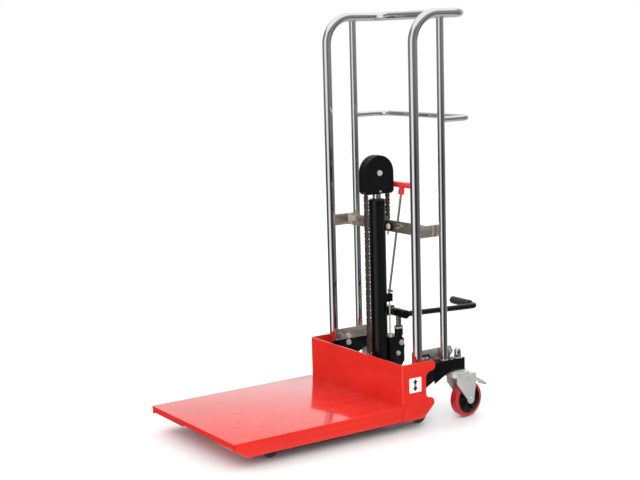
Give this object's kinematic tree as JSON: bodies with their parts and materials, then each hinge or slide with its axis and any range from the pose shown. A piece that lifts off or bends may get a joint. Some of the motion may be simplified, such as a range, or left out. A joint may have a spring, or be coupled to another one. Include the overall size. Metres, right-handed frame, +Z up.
{
  "type": "platform stacker",
  "caption": "Hand-pushed platform stacker with chrome tube mast, red panel and platform, foot pump, chain-driven lift, floor rollers and swivel casters.",
  "frame": {"origin": "bottom centre of the whole machine, on the floor", "axes": "+Z up; -Y towards the load platform, +Y towards the operator; X across the machine"},
  "size_m": [0.588, 1.149, 1.396],
  "materials": {
    "axle_steel": "turned steel",
    "black_core": "moulded",
    "black_paint": "gloss black paint",
    "cast_black": "black painted casting",
    "chain_steel": "oiled dark steel",
    "chrome_nut": "bright plated",
    "chrome_plate": "chrome plate, slightly dull",
    "chrome_rod": "ground and hard chromed",
    "chrome_tube": "bright chrome plate",
    "cover_plastic": "satin black",
    "grip_rubber": "ribbed rubber",
    "nylon": "dark nylon",
    "red_paint": "high gloss red powder coat",
    "red_plastic": "moulded",
    "red_polyurethane": "cast polyurethane",
    "rod_steel": "zinc plated",
    "roller_steel": "turned steel",
    "spring_steel": "drawn wire",
    "zinc_bolt": "bright zinc plate",
    "zinc_plate": "zinc plate"
  },
  "bodies": {
    "frame": {"mast_loop": "chrome_tube", "rear_post_right": "chrome_tube", "rear_post_left": "chrome_tube", "guard_rail": "chrome_tube", "mid_brace": "chrome_plate", "lower_brace_right": "chrome_plate", "lower_brace_left": "chrome_plate", "frame_bolts": "zinc_bolt", "side_arm_right": "black_paint", "side_arm_left": "black_paint", "leg_right": "black_paint", "leg_left": "black_paint", "floor_axles": "axle_steel", "base_beam": "black_paint", "caster_mounts": "chrome_nut", "cylinder_barrel": "black_paint", "cylinder_gland": "black_paint", "chain_rear_strand": "chain_steel", "chain_anchor_rear": "zinc_bolt", "pump_block": "cast_black", "pump_fittings": "zinc_bolt", "pump_spring": "spring_steel", "pedal_pin": "axle_steel"},
    "ram": {"piston_rod": "chrome_rod", "chain_yoke": "black_paint", "chain_wheel_axle": "zinc_bolt", "chain_wrap": "chain_steel", "chain_cover_right": "cover_plastic", "chain_cover_left": "cover_plastic"},
    "chain_wheel": {"chain_wheel": "chain_steel"},
    "carriage": {"carriage_panel": "red_paint", "fork_right": "red_paint", "fork_left": "red_paint", "platform": "red_paint", "guide_axles": "axle_steel", "chain_anchor_front": "zinc_bolt", "chain_front_strand": "chain_steel"},
    "foot_pedal": {"pedal_crank": "black_paint", "pedal_grip": "grip_rubber"},
    "pump_plunger": {"pump_plunger": "axle_steel"},
    "release": {"release_rod": "rod_steel", "release_handle": "red_plastic"},
    "front_roller_right": {"front_roller_right": "nylon"},
    "base_roller_right": {"base_roller_right": "nylon"},
    "upper_guide_right": {"upper_guide_right": "roller_steel"},
    "lower_guide_right": {"lower_guide_right": "roller_steel"},
    "back_guide_right": {"back_guide_right": "roller_steel"},
    "caster_right": {"caster_fork_right": "zinc_plate"},
    "caster_wheel_right": {"caster_tyre_right": "red_polyurethane", "caster_core_right": "black_core"},
    "caster_brake_right": {"caster_brake_right": "zinc_plate"},
    "front_roller_left": {"front_roller_left": "nylon"},
    "base_roller_left": {"base_roller_left": "nylon"},
    "upper_guide_left": {"upper_guide_left": "roller_steel"},
    "lower_guide_left": {"lower_guide_left": "roller_steel"},
    "back_guide_left": {"back_guide_left": "roller_steel"},
    "caster_left": {"caster_fork_left": "zinc_plate"},
    "caster_wheel_left": {"caster_tyre_left": "red_polyurethane", "caster_core_left": "black_core"},
    "caster_brake_left": {"caster_brake_left": "zinc_plate"}
  },
  "joints": [
    {"name": "ram_lift", "type": "slide", "parent": "frame", "child": "ram", "axis": [0, 0, 1], "range_m": [0, 0.53], "deforming": ["chain_rear_strand"]},
    {"name": "carriage_lift", "type": "slide", "parent": "ram", "child": "carriage", "axis": [0, 0, 1], "range_m": [0, 0.53], "deforming": ["chain_front_strand"]},
    {"name": "chain_wheel_turn", "type": "hinge", "parent": "ram", "child": "chain_wheel", "pos_m": [0, 0.1865, 0.844], "axis": [1, 0, 0], "continuous": true},
    {"name": "foot_pedal_press", "type": "hinge", "parent": "frame", "child": "foot_pedal", "pos_m": [0.04, 0.2335, 0.352], "axis": [-1, 0, 0], "range_deg": [0, 28], "stiffness_Nm_per_rad": 16, "springref_deg": -20.05},
    {"name": "pump_plunger_travel", "type": "slide", "parent": "frame", "child": "pump_plunger", "axis": [0, 0, -1], "range_m": [0, 0.0122], "deforming": ["pump_spring"]},
    {"name": "release_turn", "type": "hinge", "parent": "frame", "child": "release", "pos_m": [0.024, 0.2155, 0.425], "axis": [0, -0.1702, -0.9854], "range_deg": [0, 60], "stiffness_Nm_per_rad": 0.6, "springref_deg": -8.59},
    {"name": "front_roller_right_spin", "type": "hinge", "parent": "frame", "child": "front_roller_right", "pos_m": [0.207, -0.4095, 0.03], "axis": [1, 0, 0], "continuous": true},
    {"name": "base_roller_right_spin", "type": "hinge", "parent": "frame", "child": "base_roller_right", "pos_m": [0.207, 0.1875, 0.03], "axis": [1, 0, 0], "continuous": true},
    {"name": "upper_guide_right_spin", "type": "hinge", "parent": "carriage", "child": "upper_guide_right", "pos_m": [0.248, 0.1951, 0.212], "axis": [1, 0, 0], "continuous": true},
    {"name": "lower_guide_right_spin", "type": "hinge", "parent": "carriage", "child": "lower_guide_right", "pos_m": [0.248, 0.1279, 0.087], "axis": [1, 0, 0], "continuous": true},
    {"name": "back_guide_right_spin", "type": "hinge", "parent": "carriage", "child": "back_guide_right", "pos_m": [0.248, 0.1881, 0.087], "axis": [1, 0, 0], "continuous": true},
    {"name": "caster_right_swivel", "type": "hinge", "parent": "frame", "child": "caster_right", "pos_m": [0.252, 0.3315, 0.155], "axis": [0, 0, 1], "continuous": true},
    {"name": "caster_wheel_right_spin", "type": "hinge", "parent": "caster_right", "child": "caster_wheel_right", "pos_m": [0.24869, 0.36936, 0.0625], "axis": [0.9962, 0.0872, 0], "continuous": true},
    {"name": "caster_brake_right_press", "type": "hinge", "parent": "caster_right", "child": "caster_brake_right", "pos_m": [0.24694, 0.38928, 0.136], "axis": [-0.9962, -0.0872, 0], "range_deg": [0, 7]},
    {"name": "front_roller_left_spin", "type": "hinge", "parent": "frame", "child": "front_roller_left", "pos_m": [-0.207, -0.4095, 0.03], "axis": [1, 0, 0], "continuous": true},
    {"name": "base_roller_left_spin", "type": "hinge", "parent": "frame", "child": "base_roller_left", "pos_m": [-0.207, 0.1875, 0.03], "axis": [1, 0, 0], "continuous": true},
    {"name": "upper_guide_left_spin", "type": "hinge", "parent": "carriage", "child": "upper_guide_left", "pos_m": [-0.248, 0.1951, 0.212], "axis": [1, 0, 0], "continuous": true},
    {"name": "lower_guide_left_spin", "type": "hinge", "parent": "carriage", "child": "lower_guide_left", "pos_m": [-0.248, 0.1279, 0.087], "axis": [1, 0, 0], "continuous": true},
    {"name": "back_guide_left_spin", "type": "hinge", "parent": "carriage", "child": "back_guide_left", "pos_m": [-0.248, 0.1881, 0.087], "axis": [1, 0, 0], "continuous": true},
    {"name": "caster_left_swivel", "type": "hinge", "parent": "frame", "child": "caster_left", "pos_m": [-0.252, 0.3315, 0.155], "axis": [0, 0, 1], "continuous": true},
    {"name": "caster_wheel_left_spin", "type": "hinge", "parent": "caster_left", "child": "caster_wheel_left", "pos_m": [-0.24475, 0.3688, 0.0625], "axis": [0.9816, -0.1908, 0], "continuous": true},
    {"name": "caster_brake_left_press", "type": "hinge", "parent": "caster_left", "child": "caster_brake_left", "pos_m": [-0.24093, 0.38843, 0.136], "axis": [-0.9816, 0.1908, 0], "range_deg": [0, 7]}
  ],
  "couplings": [
    {"joint": "carriage_lift", "follows": "ram_lift", "ratio": 1},
    {"joint": "chain_wheel_turn", "follows": "ram_lift", "rad_per_m": -21.739},
    {"joint": "pump_plunger_travel", "follows": "foot_pedal_press", "m_per_rad": 0.0245},
    {"joint": "upper_guide_right_spin", "follows": "ram_lift", "rad_per_m": 115.61},
    {"joint": "lower_guide_right_spin", "follows": "ram_lift", "rad_per_m": -115.61},
    {"joint": "back_guide_right_spin", "follows": "ram_lift", "rad_per_m": 194.17},
    {"joint": "upper_guide_left_spin", "follows": "ram_lift", "rad_per_m": 115.61},
    {"joint": "lower_guide_left_spin", "follows": "ram_lift", "rad_per_m": -115.61},
    {"joint": "back_guide_left_spin", "follows": "ram_lift", "rad_per_m": 194.17}
  ]
}
